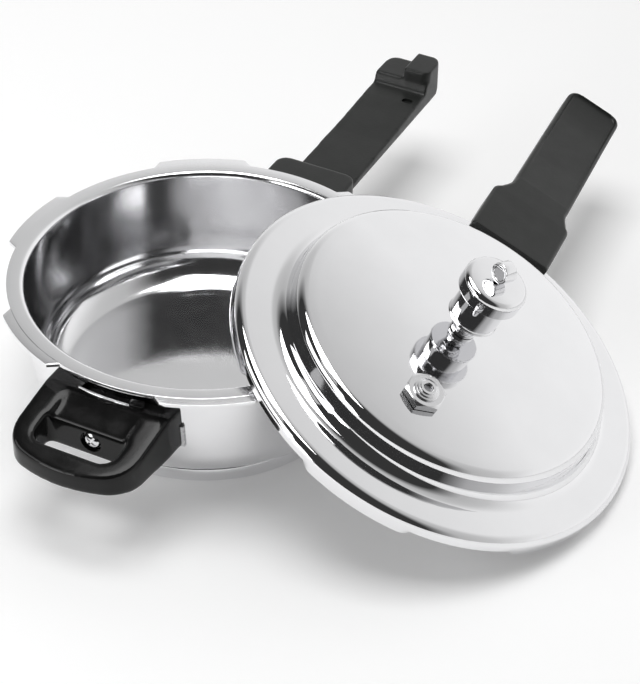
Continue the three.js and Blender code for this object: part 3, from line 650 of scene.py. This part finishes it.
def weightProfile():
    s = weightSize
    low, high, wide = s["low"], s["high"], s["radius"]
    return (
        [(s["bore"], low + 0.5), (s["bore"] + 0.5, low), (s["lip"] - 0.5, low)]
        + arcPoints(s["lip"] - 0.5, low + 0.6, 0.5, -60, 60, 6)
        + [(wide - 0.5, low + 1.4), (wide - 0.6, low + 1.7), (wide - 0.6, low + 2.3)]
        + [(wide - 0.1, low + 2.7), (wide, low + 3.0), (wide, high - 6), (wide, high - 0.2)]
        + [(wide - 0.2, high), (s["pin"], high), (s["pin"], s["boreTop"]), (s["bore"], s["boreTop"])]
    )


def capProfile():
    s = weightSize
    edge = s["capHigh"] - 0.5
    return (
        [(0, s["capLow"]), (s["capRadius"] - 1.2, s["capLow"])]
        + arcPoints(s["capRadius"] - 0.8, s["capLow"] + 0.8, 0.8, -90, 0, 5)
        + arcPoints(s["capRadius"] - s["capRound"], edge - s["capRound"], s["capRound"], 0, 84, 10)
        + [(10, s["capHigh"] - 0.2), (6, s["capHigh"] - 0.05), (s["stem"] + 0.4, s["capHigh"])]
        + [(s["stem"], s["capHigh"] - 0.3), (s["stem"], s["stemLow"]), (0, s["stemLow"])]
    )


weightBody = turnPiece("weightBody", weightProfile(), 128, closed=True)
settle(weightBody, ventPlace)
fitPiece(weightBody, "weight", "turned_chrome", weightChrome, "weight_body")
weightCap = turnPiece("weightCap", capProfile(), 128)
settle(weightCap, ventPlace)
fitPiece(weightCap, "weight", "turned_chrome", weightChrome, "weight_cap")

eyeSize = {
    "outer": 5.7, "hole": 3.8, "half": 3.8, "round": 0.5, "centre": 47.7, "turn": 57,
    "stem": 1.8, "stemLow": 37.2,
}


def eyeProfile():
    s = eyeSize
    r = s["round"]
    return (
        arcPoints(s["hole"] + r, -s["half"] + r, r, 180, 270, 4)
        + arcPoints(s["outer"] - r, -s["half"] + r, r, -90, 0, 4)
        + arcPoints(s["outer"] - r, s["half"] - r, r, 0, 90, 4)
        + arcPoints(s["hole"] + r, s["half"] - r, r, 90, 180, 4)
    )


liftEye = turnPiece("liftEye", eyeProfile(), 64, closed=True)
eyeTurn = (
    Matrix.Translation((0, 0, eyeSize["centre"] * mm))
    @ Matrix.Rotation(math.radians(eyeSize["turn"]), 4, "Z")
    @ Matrix.Rotation(math.radians(90), 4, "Y")
)
liftEye.data.transform(eyeTurn)
stemTop = eyeSize["centre"] - (eyeSize["outer"] + eyeSize["hole"]) / 2
stem = turnPiece("stem", [
    (0, eyeSize["stemLow"]), (eyeSize["stem"], eyeSize["stemLow"]), (eyeSize["stem"], stemTop - 0.6),
    (eyeSize["stem"] + 0.4, stemTop), (0, stemTop),
], 32)
combine(liftEye, stem, "UNION")
backZ, backX = -eyeSize["half"], eyeSize["hole"]
back = turnPiece("back", [
    (0, backZ + 0.3), (backX + 0.4, backZ + 0.3), (backX + 0.4, backZ + 3.2),
    (backX - 0.1, backZ + 3.2), (0, backZ + 1.0),
], 48)
back.data.transform(eyeTurn)
combine(liftEye, back, "UNION")
settle(liftEye, ventPlace)
fitPiece(liftEye, "weight", "turned_chrome", weightChrome, "weight_lift_ring")
print("vent and weight made")


# safety valve: chamfered hexagon, stepped boss, hole with a plug

valveSize = {
    "offset": 57, "flats": 20.2, "low": 0.3, "high": 4.5, "steps": ((7.0, 5.5), (5.7, 6.5), (4.4, 7.5)),
    "hole": 2.5, "shank": 5, "shankLow": -11,
}
valveLean = math.atan(2 * lidSize["crown"] / plateEdge[0] ** 2 * valveSize["offset"])
valvePlace = (
    lidPlace
    @ Matrix.Translation((0, -valveSize["offset"] * mm, plateAt(valveSize["offset"]) * mm))
    @ Matrix.Rotation(valveLean, 4, "X")
)


def valveBodyPiece():
    s = valveSize
    corner = s["flats"] / math.sqrt(3)
    top = s["steps"][-1][1]
    body = prism("valveBody", arcPoints(0, 0, corner, 30, 330, 5), "Z", s["low"], s["high"])
    dome = turnPiece("dome", [
        (0, s["low"] - 1), (corner + 1, s["low"] - 1), (corner + 1, s["high"] - 1.6),
        (s["flats"] / 2 - 0.4, s["high"]), (0, s["high"]),
    ], 96)
    combine(body, dome, "INTERSECT")
    profile = [
        (0, s["shankLow"]), (s["shank"], s["shankLow"]), (s["shank"], s["high"] - 1),
        (s["steps"][0][0], s["high"] - 1),
    ]
    for radius, height in s["steps"]:
        profile += [(radius, height - 0.8), (radius, height - 0.25), (radius - 0.25, height)]
    floor = s["high"] + 0.2
    profile += [(s["hole"] + 0.3, top), (s["hole"], top - 0.3), (s["hole"], floor), (0, floor)]
    boss = turnPiece("boss", profile, 64)
    combine(body, boss, "UNION")
    return body


valveBody = valveBodyPiece()
settle(valveBody, valvePlace, 28)
fitPiece(valveBody, "lid", "turned_chrome", valveSteel, "safety_valve_body")
print("safety valve made")


# long handle of the pot: collar, grip, stepped tip

wallGap = 0.3


def wallCutter(layer):
    low, high = 25.4, 75.6
    return turnPiece("wallCutter", [
        (0, low), (potOuterWall(low) + layer, low), (potOuterWall(high) + layer, high), (0, high),
    ], 240)


gripSize = {
    "collarHalf": 25.3, "collarTop": 70, "collarLow": 40, "collarBack": 137, "collarCorner": 7,
    "half": 19, "tipHalf": 17.6, "top": 57.5, "rise": 5.5, "thick": 15, "sideHeight": 3, "underHalf": 11,
    "tipStart": 247.5, "tipEnd": 271.5, "step": 6, "highStep": 13, "highWidth": 18, "screwAt": 123.4,
    "tipCorner": 7, "markX": 10.5, "markY": 236.5,
}


def gripOutline():
    s = gripSize
    far = s["top"] + s["rise"]
    end, start, thick = s["tipEnd"], s["tipStart"], s["thick"]
    return [
        (s["collarBack"] - 12, s["top"]), (s["collarBack"] + 55, s["top"] + s["rise"] * 0.42),
        (start - 14, far - 0.5), (start - 1.5, far), (start - 0.2, far + 0.5), (start + 0.6, far + 1.6),
        (start + 1.6, far + 4.4), (start + 2.4, far + s["step"] - 0.5), (start + 3.6, far + s["step"]),
        (end, far + s["step"]), (end, far - thick * 0.2), (end - 7, far - thick * 0.6),
        (end - 24, far - thick * 0.9), (end - 48, far - thick),
        (s["collarBack"] - 12, s["top"] - thick),
    ]


def gripSection():
    s = gripSize
    high, low, side = s["top"] + 60, s["top"] - s["thick"], s["top"] - s["sideHeight"]
    right = [(s["underHalf"], low), (s["half"], side), (s["half"], high)]
    return right + [(-x, z) for x, z in reversed(right)]


def narrowToTip(piece):
    s = gripSize
    for vertex in piece.data.vertices:
        part = min(1.0, max(0.0, (vertex.co.y / mm - s["collarBack"]) / (s["tipEnd"] - s["collarBack"])))
        vertex.co.x *= 1 - part * (1 - s["tipHalf"] / s["half"])


def gripPiece():
    s = gripSize
    far, end, start = s["top"] + s["rise"], s["tipEnd"], s["tipStart"]
    grip = prism("baseHandle", gripOutline(), "X", -s["half"], s["half"])
    combine(grip, prism("section", gripSection(), "Y", s["collarBack"] - 13, end + 1), "INTERSECT")
    high = prism("highTip", [
        (start + 0.4, far - 4), (start + 3.2, far + s["highStep"]), (end, far + s["highStep"]),
        (end, far - 2), (end - 6, far - 4),
    ], "X", s["half"] - s["highWidth"], s["half"])
    bevelChosen(high, lambda a, b: min(a.x, b.x) > s["half"] - 0.1 and max(a.y, b.y) < start + 4, 4.5, 5)
    combine(grip, high, "UNION")
    plan = roundedRectangle(s["half"], s["collarBack"] - 30, end, s["tipCorner"], 8)
    combine(grip, prism("plan", plan, "Z", 0, 120), "INTERSECT")
    narrowToTip(grip)
    return grip


def baseHandlePiece():
    s = gripSize
    grip = gripPiece()
    collar = prism(
        "collar", roundedRectangle(s["collarHalf"], 80, s["collarBack"], s["collarCorner"], 8),
        "Z", s["collarLow"], s["collarTop"],
    )
    combine(grip, collar, "UNION")
    softenEdges(grip, 0.8, 7)
    combine(grip, wallCutter(wallGap), "DIFFERENCE")
    bore = turnPiece("bore", [(0, 30), (6.2, 30), (6.2, 46), (2.7, 46), (2.7, 58), (0, 58)], 48)
    bore.data.transform(Matrix.Translation((0, s["screwAt"] * mm, 0)))
    combine(grip, bore, "DIFFERENCE")
    thumbMark = prism("thumbMark", roundedRectangle(3.4, -2.2, 2.2, 2.1, 6), "Z", 61, 70)
    thumbMark.data.transform(Matrix.Translation((s["markX"] * mm, s["markY"] * mm, 0)))
    combine(grip, thumbMark, "DIFFERENCE")
    return grip


baseHandle = baseHandlePiece()
settle(baseHandle, potPlace, 38)
fitPiece(baseHandle, "pot", "black_phenolic", handleBlack, "base_handle")
print("long handle made")


# loop handle with finger gap and sloping panel

loopSize = {
    "half": 37.2, "top": 67, "low": 39, "end": -151.4, "bulge": 3, "corner": 19, "bar": 12.6,
    "gap": 17, "gapHalf": 24, "gapCorner": 7, "gapRound": 1.5, "skew": 0.06,
    "slope": 16.5, "fallStart": -104.4, "panel": 3, "lowRise": 2.5, "screwZ": 50.5, "back": -60,
    "groove": 6.2, "grooveHalf": 17.5, "grooveLow": 63.6, "rod": 0.75, "rodOut": 4.6, "rodZ": 66.6,
    "tabX": 0.7, "tabY": -102.2, "tab": 5.4, "tabRise": 0.35,
    "clipX": 16.5, "clipY": -100, "clipTop": 69.6, "clipHalf": 4.2, "clipTurn": 10,
}


def loopTopAt(y):
    s = loopSize
    return s["top"] - max(0, s["fallStart"] - y) * math.tan(math.radians(s["slope"]))


def loopBody():
    s = loopSize
    turn = arcPoints(s["half"] - s["corner"], s["end"] + s["bulge"] + s["corner"], s["corner"], 0, -76, 12)
    lastX, lastY = turn[-1]
    front = [(lastX * part, s["end"] + (lastY - s["end"]) * part ** 2) for part in (0.8, 0.6, 0.4, 0.2)]
    right = [(s["half"], s["back"])] + turn + front
    plan = right + [(0, s["end"])] + [(-x, y) for x, y in reversed(right)]
    body = prism("loopHandle", plan, "Z", s["low"] - 4, s["top"] + 6)
    side = prism("side", [
        (s["back"] - 5, s["top"]), (s["fallStart"], s["top"]), (s["end"] - 4, loopTopAt(s["end"] - 4)),
        (s["end"] - 4, s["low"] + s["lowRise"]), (s["end"] + 6, s["low"] + s["lowRise"]),
        (s["back"] - 5, s["low"]),
    ], "X", -60, 60)
    combine(body, side, "INTERSECT")
    inner = s["end"] + s["bar"]
    block = inner + s["gap"]
    wide = s["gapHalf"]
    big, small = s["gapCorner"], s["gapRound"]
    fingers = prism("fingers", (
        arcPoints(wide - big, inner + big, big, -90, 0, 8)
        + arcPoints(wide - small, block - small, small, 0, 90, 3)
        + arcPoints(-wide + small, block - small, small, 90, 180, 3)
        + arcPoints(-wide + big, inner + big, big, 180, 270, 8)
    ), "Z", 0, 100)
    combine(body, fingers, "DIFFERENCE")
    panel = prism("panel", [
        (block + 14, 100), (block + 14, loopTopAt(block + 14) - 0.4),
        (block + 9, loopTopAt(block + 9) - 1.9),
        (block - 2, loopTopAt(block - 2) - s["panel"]), (block - 2, 100),
    ], "X", small - wide, wide - small)
    combine(body, panel, "DIFFERENCE")
    softenEdges(body, 0.7, 55)
    for vertex in body.data.vertices:
        vertex.co.x -= s["skew"] * max(0.0, s["fallStart"] * mm - vertex.co.y)
    combine(body, wallCutter(wallGap), "DIFFERENCE")
    seat = turnPiece("seat", [(0, 0), (6.2, 0), (6.2, 4.6), (2.7, 4.6), (2.7, 20), (0, 20)], 48)
    seat.data.transform(
        Matrix.Translation((0, (block - 0.5) * mm, s["screwZ"] * mm))
        @ Matrix.Rotation(math.radians(-90), 4, "X")
    )
    combine(body, seat, "DIFFERENCE")
    return body


def acrossPiece(name, half, low, high):
    # a block over the loop's width, used to keep only the loop's side of a turned ring
    return prism(name, [(-half, -140), (half, -140), (half, 0), (-half, 0)], "Z", low, high)


def grooveCutter(extra):
    s = loopSize
    outer = potOuterWall(s["grooveLow"]) + s["groove"] + extra
    reach = math.degrees(math.asin(s["grooveHalf"] / outer))
    return prism("groove", (
        arcPoints(0, 0, outer, -90 - reach, -90 + reach, 24)
        + arcPoints(0, 0, outer - 14, -90 + reach, -90 - reach, 24)
    ), "Z", s["grooveLow"], 75)


def loopPiece():
    # groove along the wall with a clip at its end, and a half-round tab in front
    s = loopSize
    top, radius = s["top"], s["tab"]
    body = loopBody()
    combine(body, grooveCutter(0), "DIFFERENCE")
    tabPlace = Matrix.Translation((s["tabX"] * mm, s["tabY"] * mm, 0))
    ditch = turnPiece("ditch", [(0, top - 0.7), (radius + 0.7, top - 0.7), (radius + 0.9, 80), (0, 80)], 48)
    ditch.data.transform(tabPlace)
    combine(body, ditch, "DIFFERENCE")
    tab = turnPiece("tab", [
        (0, top - 2), (radius, top - 2), (radius, top),
        (radius - 0.5, top + s["tabRise"]), (0, top + s["tabRise"]),
    ], 48)
    tab.data.transform(tabPlace)
    combine(tab, grooveCutter(0.3), "DIFFERENCE")
    combine(body, tab, "UNION")
    clipPlan = roundedRectangle(s["clipHalf"], -4.4, 0.6, 1.6, 4)
    clip = prism("clip", clipPlan, "Z", s["grooveLow"] - 0.3, s["clipTop"])
    bevelChosen(clip, lambda a, b: min(a.z, b.z) > s["clipTop"] - 0.1, 1.4, 3)
    clip.data.transform(
        Matrix.Translation((s["clipX"] * mm, s["clipY"] * mm, 0))
        @ Matrix.Rotation(math.radians(s["clipTurn"]), 4, "Z")
    )
    joinInto(body, [clip])
    return body


def loopRodPiece():
    s = loopSize
    rodX = potOuterWall(s["rodZ"]) + s["rodOut"]
    rod = turnPiece("loopRod", arcPoints(rodX, s["rodZ"], s["rod"], 0, 330, 11), 384, closed=True)
    combine(rod, acrossPiece("across", s["grooveHalf"] + 0.4, 0, 100), "INTERSECT")
    return rod


loopHandle = loopPiece()
settle(loopHandle, potPlace, 38)
fitPiece(loopHandle, "pot", "black_gloss", loopBlack, "helper_handle")
loopRod = loopRodPiece()
settle(loopRod, potPlace, 38)
fitPiece(loopRod, "pot", "plain_steel", screwSteel)
print("loop handle and the rod in its groove made")


screwSize = {
    "face": -121.8, "height": 50.5, "head": 5, "thick": 3.2, "shank": 2.5, "length": 21.4,
    "cut": 0.6, "cutReach": 3.4, "turn": 35,
}


def loopScrewPiece():
    s = screwSize
    screw = turnPiece("loopScrew", [
        (0, 0), (2.2, 0.1), (3.8, 0.6), (s["head"] - 0.3, 1.4), (s["head"], 2.2), (s["head"], s["thick"]),
        (s["shank"], s["thick"]), (s["shank"], s["length"]), (0, s["length"]),
    ], 48)
    for turn in (s["turn"], s["turn"] + 90):
        reach, width = s["cutReach"], s["cut"]
        slot = [(-reach, -width), (reach, -width), (reach, width), (-reach, width)]
        cut = prism("cut", slot, "Z", -1, 1.3)
        cut.data.transform(Matrix.Rotation(math.radians(turn), 4, "Z"))
        combine(screw, cut, "DIFFERENCE")
    return screw


loopScrew = loopScrewPiece()
settle(loopScrew, (
    Matrix.Translation((0, screwSize["face"] * mm, screwSize["height"] * mm))
    @ Matrix.Rotation(math.radians(-90), 4, "X")
))
fitPiece(loopScrew, "pot", "plain_steel", screwSteel, "helper_handle_screw")
print("loop screw made")


# lid handle: broad root on the ring, tapering grip

lidHandleSize = {
    "root": 103.5, "end": 263.6, "wide": 25.5, "wideEnd": 143, "gripStart": 157,
    "grip": 18.6, "tip": 18, "tipCorner": 7, "top": 21, "wideLow": 1, "gripLow": 7, "gap": 0.3,
    "dip": 0.8, "lip": 2, "lipStart": 0.75, "aside": 1, "border": 2.2, "tray": 1.9,
}


def lidHandleTray():
    # shallow tray in the grip's top, deepest behind the upstanding edge at the tip
    s = lidHandleSize
    start, last, corner = s["gripStart"] + 4, s["end"] - s["border"], s["tipCorner"] - 2
    half = s["tip"] - s["border"]
    right = [(s["grip"] - s["border"], start)] + arcPoints(half - corner, last - corner, corner, 0, 90, 8)
    tray = prism("tray", right + [(-x, y) for x, y in reversed(right)], "Z", 0, s["top"] + 5)
    floorLine = prism("floorLine", [
        (start - 1, s["top"] + 6), (start - 1, s["top"]), (start + 30, s["top"] - s["tray"] * 0.5),
        (last + 1, s["top"] - s["tray"]), (last + 1, s["top"] + 6),
    ], "X", -40, 40)
    combine(tray, floorLine, "INTERSECT")
    return tray


def lidHandlePiece():
    s = lidHandleSize
    right = (
        [(s["wide"], s["root"])]
        + arcPoints(s["wide"] - 6, s["wideEnd"] - 2, 6, 0, 55, 6)
        + [(s["grip"] + 1.3, s["gripStart"] - 5), (s["grip"] + 0.3, s["gripStart"] - 2)]
        + [(s["grip"], s["gripStart"] + 2)]
        + arcPoints(s["tip"] - s["tipCorner"], s["end"] - s["tipCorner"], s["tipCorner"], 0, 90, 10)
    )
    plan = right + [(-x, y) for x, y in reversed(right)]
    top, end = s["top"], s["end"]
    handle = prism("lidHandle", plan, "Z", s["wideLow"] - 2, top)
    bevelChosen(handle, lambda a, b: min(a.z, b.z) > top - 0.1 and max(a.y, b.y) > s["root"] + 1, 1.8)
    side = prism("side", (
        [(s["root"] - 4, top + 2), (end + 4, top + 2)]
        + [(end + 4, top - 8), (end - 14, top - 12.5), (s["gripStart"] + 8, s["gripLow"])]
        + [(s["wideEnd"] + 4, s["wideLow"] + 1), (s["wideEnd"], s["wideLow"])]
        + [(s["root"] - 4, s["wideLow"])]
    ), "X", -60, 60)
    combine(handle, side, "INTERSECT")
    combine(handle, lidHandleTray(), "DIFFERENCE")
    softenEdges(handle, 0.7, 3)
    for vertex in handle.data.vertices:
        part = min(1.0, max(0.0, (vertex.co.y / mm - s["wideEnd"]) / (end - 3 - s["wideEnd"])))
        lift = max(0.0, part - s["lipStart"]) / (1 - s["lipStart"])
        if vertex.co.z > (top - 6) * mm:
            vertex.co.z += (s["lip"] * lift ** 2 - s["dip"] * math.sin(math.pi * part)) * mm
        vertex.co.x += s["aside"] * min(1.0, part / 0.15) * mm
    lid = lidSize
    corner = lid["skirt"] - lid["corner"]
    overTop = lid["ringTop"] + lid["ringRise"] + s["gap"]
    over = turnPiece("over", (
        [(0, -20), (lid["skirt"] + s["gap"], -20)]
        + arcPoints(corner, lid["ringTop"] - lid["corner"], lid["corner"] + s["gap"], 0, 90, 10)
        + [(lid["coveX"], overTop), (0, overTop)]
    ), 288)
    combine(handle, over, "DIFFERENCE")
    return handle


lidHandle = lidHandlePiece()
settle(lidHandle, lidPlace, 38)
fitPiece(lidHandle, "lid", "black_phenolic", handleBlack, "lid_handle")
print("lid handle made")


# floor, light and camera

def studioFloor():
    deselectAll()
    bpy.ops.mesh.primitive_plane_add(size=12, location=(0, 0, 0))
    floor = bpy.context.object
    floor.name = "studioFloor"
    material, tree, shader = newMaterial("paleFloor")
    shader.inputs["Base Color"].default_value = (0.90, 0.90, 0.90, 1)
    shader.inputs["Roughness"].default_value = 0.75
    shader.inputs["Specular IOR Level"].default_value = 0.2
    shader.inputs["Emission Color"].default_value = (1, 1, 1, 1)
    rays = tree.nodes.new("ShaderNodeLightPath")
    seen = tree.nodes.new("ShaderNodeMath")
    seen.operation = "MAXIMUM"
    tree.links.new(rays.outputs["Is Camera Ray"], seen.inputs[0])
    tree.links.new(rays.outputs["Is Glossy Ray"], seen.inputs[1])
    glow = tree.nodes.new("ShaderNodeMapRange")
    glow.inputs["To Max"].default_value = 0.13
    tree.links.new(seen.outputs["Value"], glow.inputs["Value"])
    tree.links.new(glow.outputs["Result"], shader.inputs["Emission Strength"])
    floor.data.materials.append(material)


def softLight(name, place, target, wide, tall, power):
    light = bpy.data.lights.new(name, "AREA")
    light.shape = "RECTANGLE"
    light.size = wide
    light.size_y = tall
    light.energy = power
    lamp = bpy.data.objects.new(name, light)
    lamp.location = place
    lamp.rotation_euler = (Vector(target) - Vector(place)).to_track_quat("-Z", "Y").to_euler()
    bpy.context.collection.objects.link(lamp)


skySize = {
    "azimuth": -110, "elevation": 30, "low": -0.8, "high": 0.6,
    "shades": ((0.0, 1.05), (0.28, 0.95), (0.48, 0.62), (0.66, 0.52), (0.84, 0.04)),
}


def studioWorld():
    # pale walls behind and beside the object, the side of the viewer and the ceiling dim
    s = skySize
    world = bpy.data.worlds.new("studioWorld")
    world.use_nodes = True
    tree = world.node_tree
    background = tree.nodes["Background"]
    coordinates = tree.nodes.new("ShaderNodeTexCoord")
    facing = tree.nodes.new("ShaderNodeVectorMath")
    facing.operation = "DOT_PRODUCT"
    turn, rise = math.radians(s["azimuth"]), math.radians(s["elevation"])
    level = math.cos(rise)
    facing.inputs[1].default_value = (math.cos(turn) * level, math.sin(turn) * level, math.sin(rise))
    remap = tree.nodes.new("ShaderNodeMapRange")
    remap.inputs["From Min"].default_value = s["low"]
    remap.inputs["From Max"].default_value = s["high"]
    ramp = tree.nodes.new("ShaderNodeValToRGB")
    ramp.color_ramp.elements.remove(ramp.color_ramp.elements[1])
    first = ramp.color_ramp.elements[0]
    for place, shade in s["shades"]:
        stop = first if place == 0 else ramp.color_ramp.elements.new(place)
        stop.position = place
        stop.color = (shade, shade, shade, 1)
    tree.links.new(coordinates.outputs["Generated"], facing.inputs[0])
    tree.links.new(facing.outputs["Value"], remap.inputs["Value"])
    tree.links.new(remap.outputs["Result"], ramp.inputs["Fac"])
    tree.links.new(ramp.outputs["Color"], background.inputs["Color"])
    bpy.context.scene.world = world


cameraSize = {
    "place": (0.5291, -0.9165, 0.8591), "yaw": 3.45, "pitch": 38.0, "roll": 0.96, "turn": 30,
    "focal": 2400, "tall": 684,
}


def photoCamera():
    s = cameraSize
    yaw, pitch, roll = math.radians(s["yaw"]), math.radians(s["pitch"]), math.radians(s["roll"])
    ahead = Vector((math.sin(yaw) * math.cos(pitch), math.cos(yaw) * math.cos(pitch), -math.sin(pitch)))
    right = Vector((math.cos(yaw), -math.sin(yaw), 0))
    up = right.cross(ahead)
    across = right * math.cos(roll) + up * math.sin(roll)
    upright = up * math.cos(roll) - right * math.sin(roll)
    turn = Matrix.Rotation(math.radians(s["turn"]), 3, "Z")
    axes = Matrix((turn @ across, turn @ upright, turn @ -ahead)).transposed()
    camera = bpy.data.cameras.new("photoCamera")
    camera.lens = s["focal"] * 36 / s["tall"]
    camera.sensor_width = 36
    camera.clip_start = 0.05
    camera.clip_end = 50
    holder = bpy.data.objects.new("photoCamera", camera)
    holder.matrix_world = Matrix.Translation(s["place"]) @ axes.to_4x4()
    bpy.context.collection.objects.link(holder)
    bpy.context.scene.camera = holder


studioFloor()
studioWorld()
softLight("keySoftbox", (-0.15, -0.05, 2.3), (0.05, 0, 0), 1.4, 1.4, 31)
softLight("sideSoftbox", (-0.98, -0.98, 0.8), (0.05, 0, 0.05), 1.4, 0.75, 7)
softLight("frontSoftbox", (-0.49, -0.85, 1.51), (0.05, 0, 0.05), 0.5, 0.5, 0.4)
softLight("lowSoftbox", (-0.64, -1.44, 0.34), (0, 0.2, 0.06), 0.6, 0.45, 4)
photoCamera()
bpy.context.scene.view_settings.view_transform = "Standard"
print("studio made")
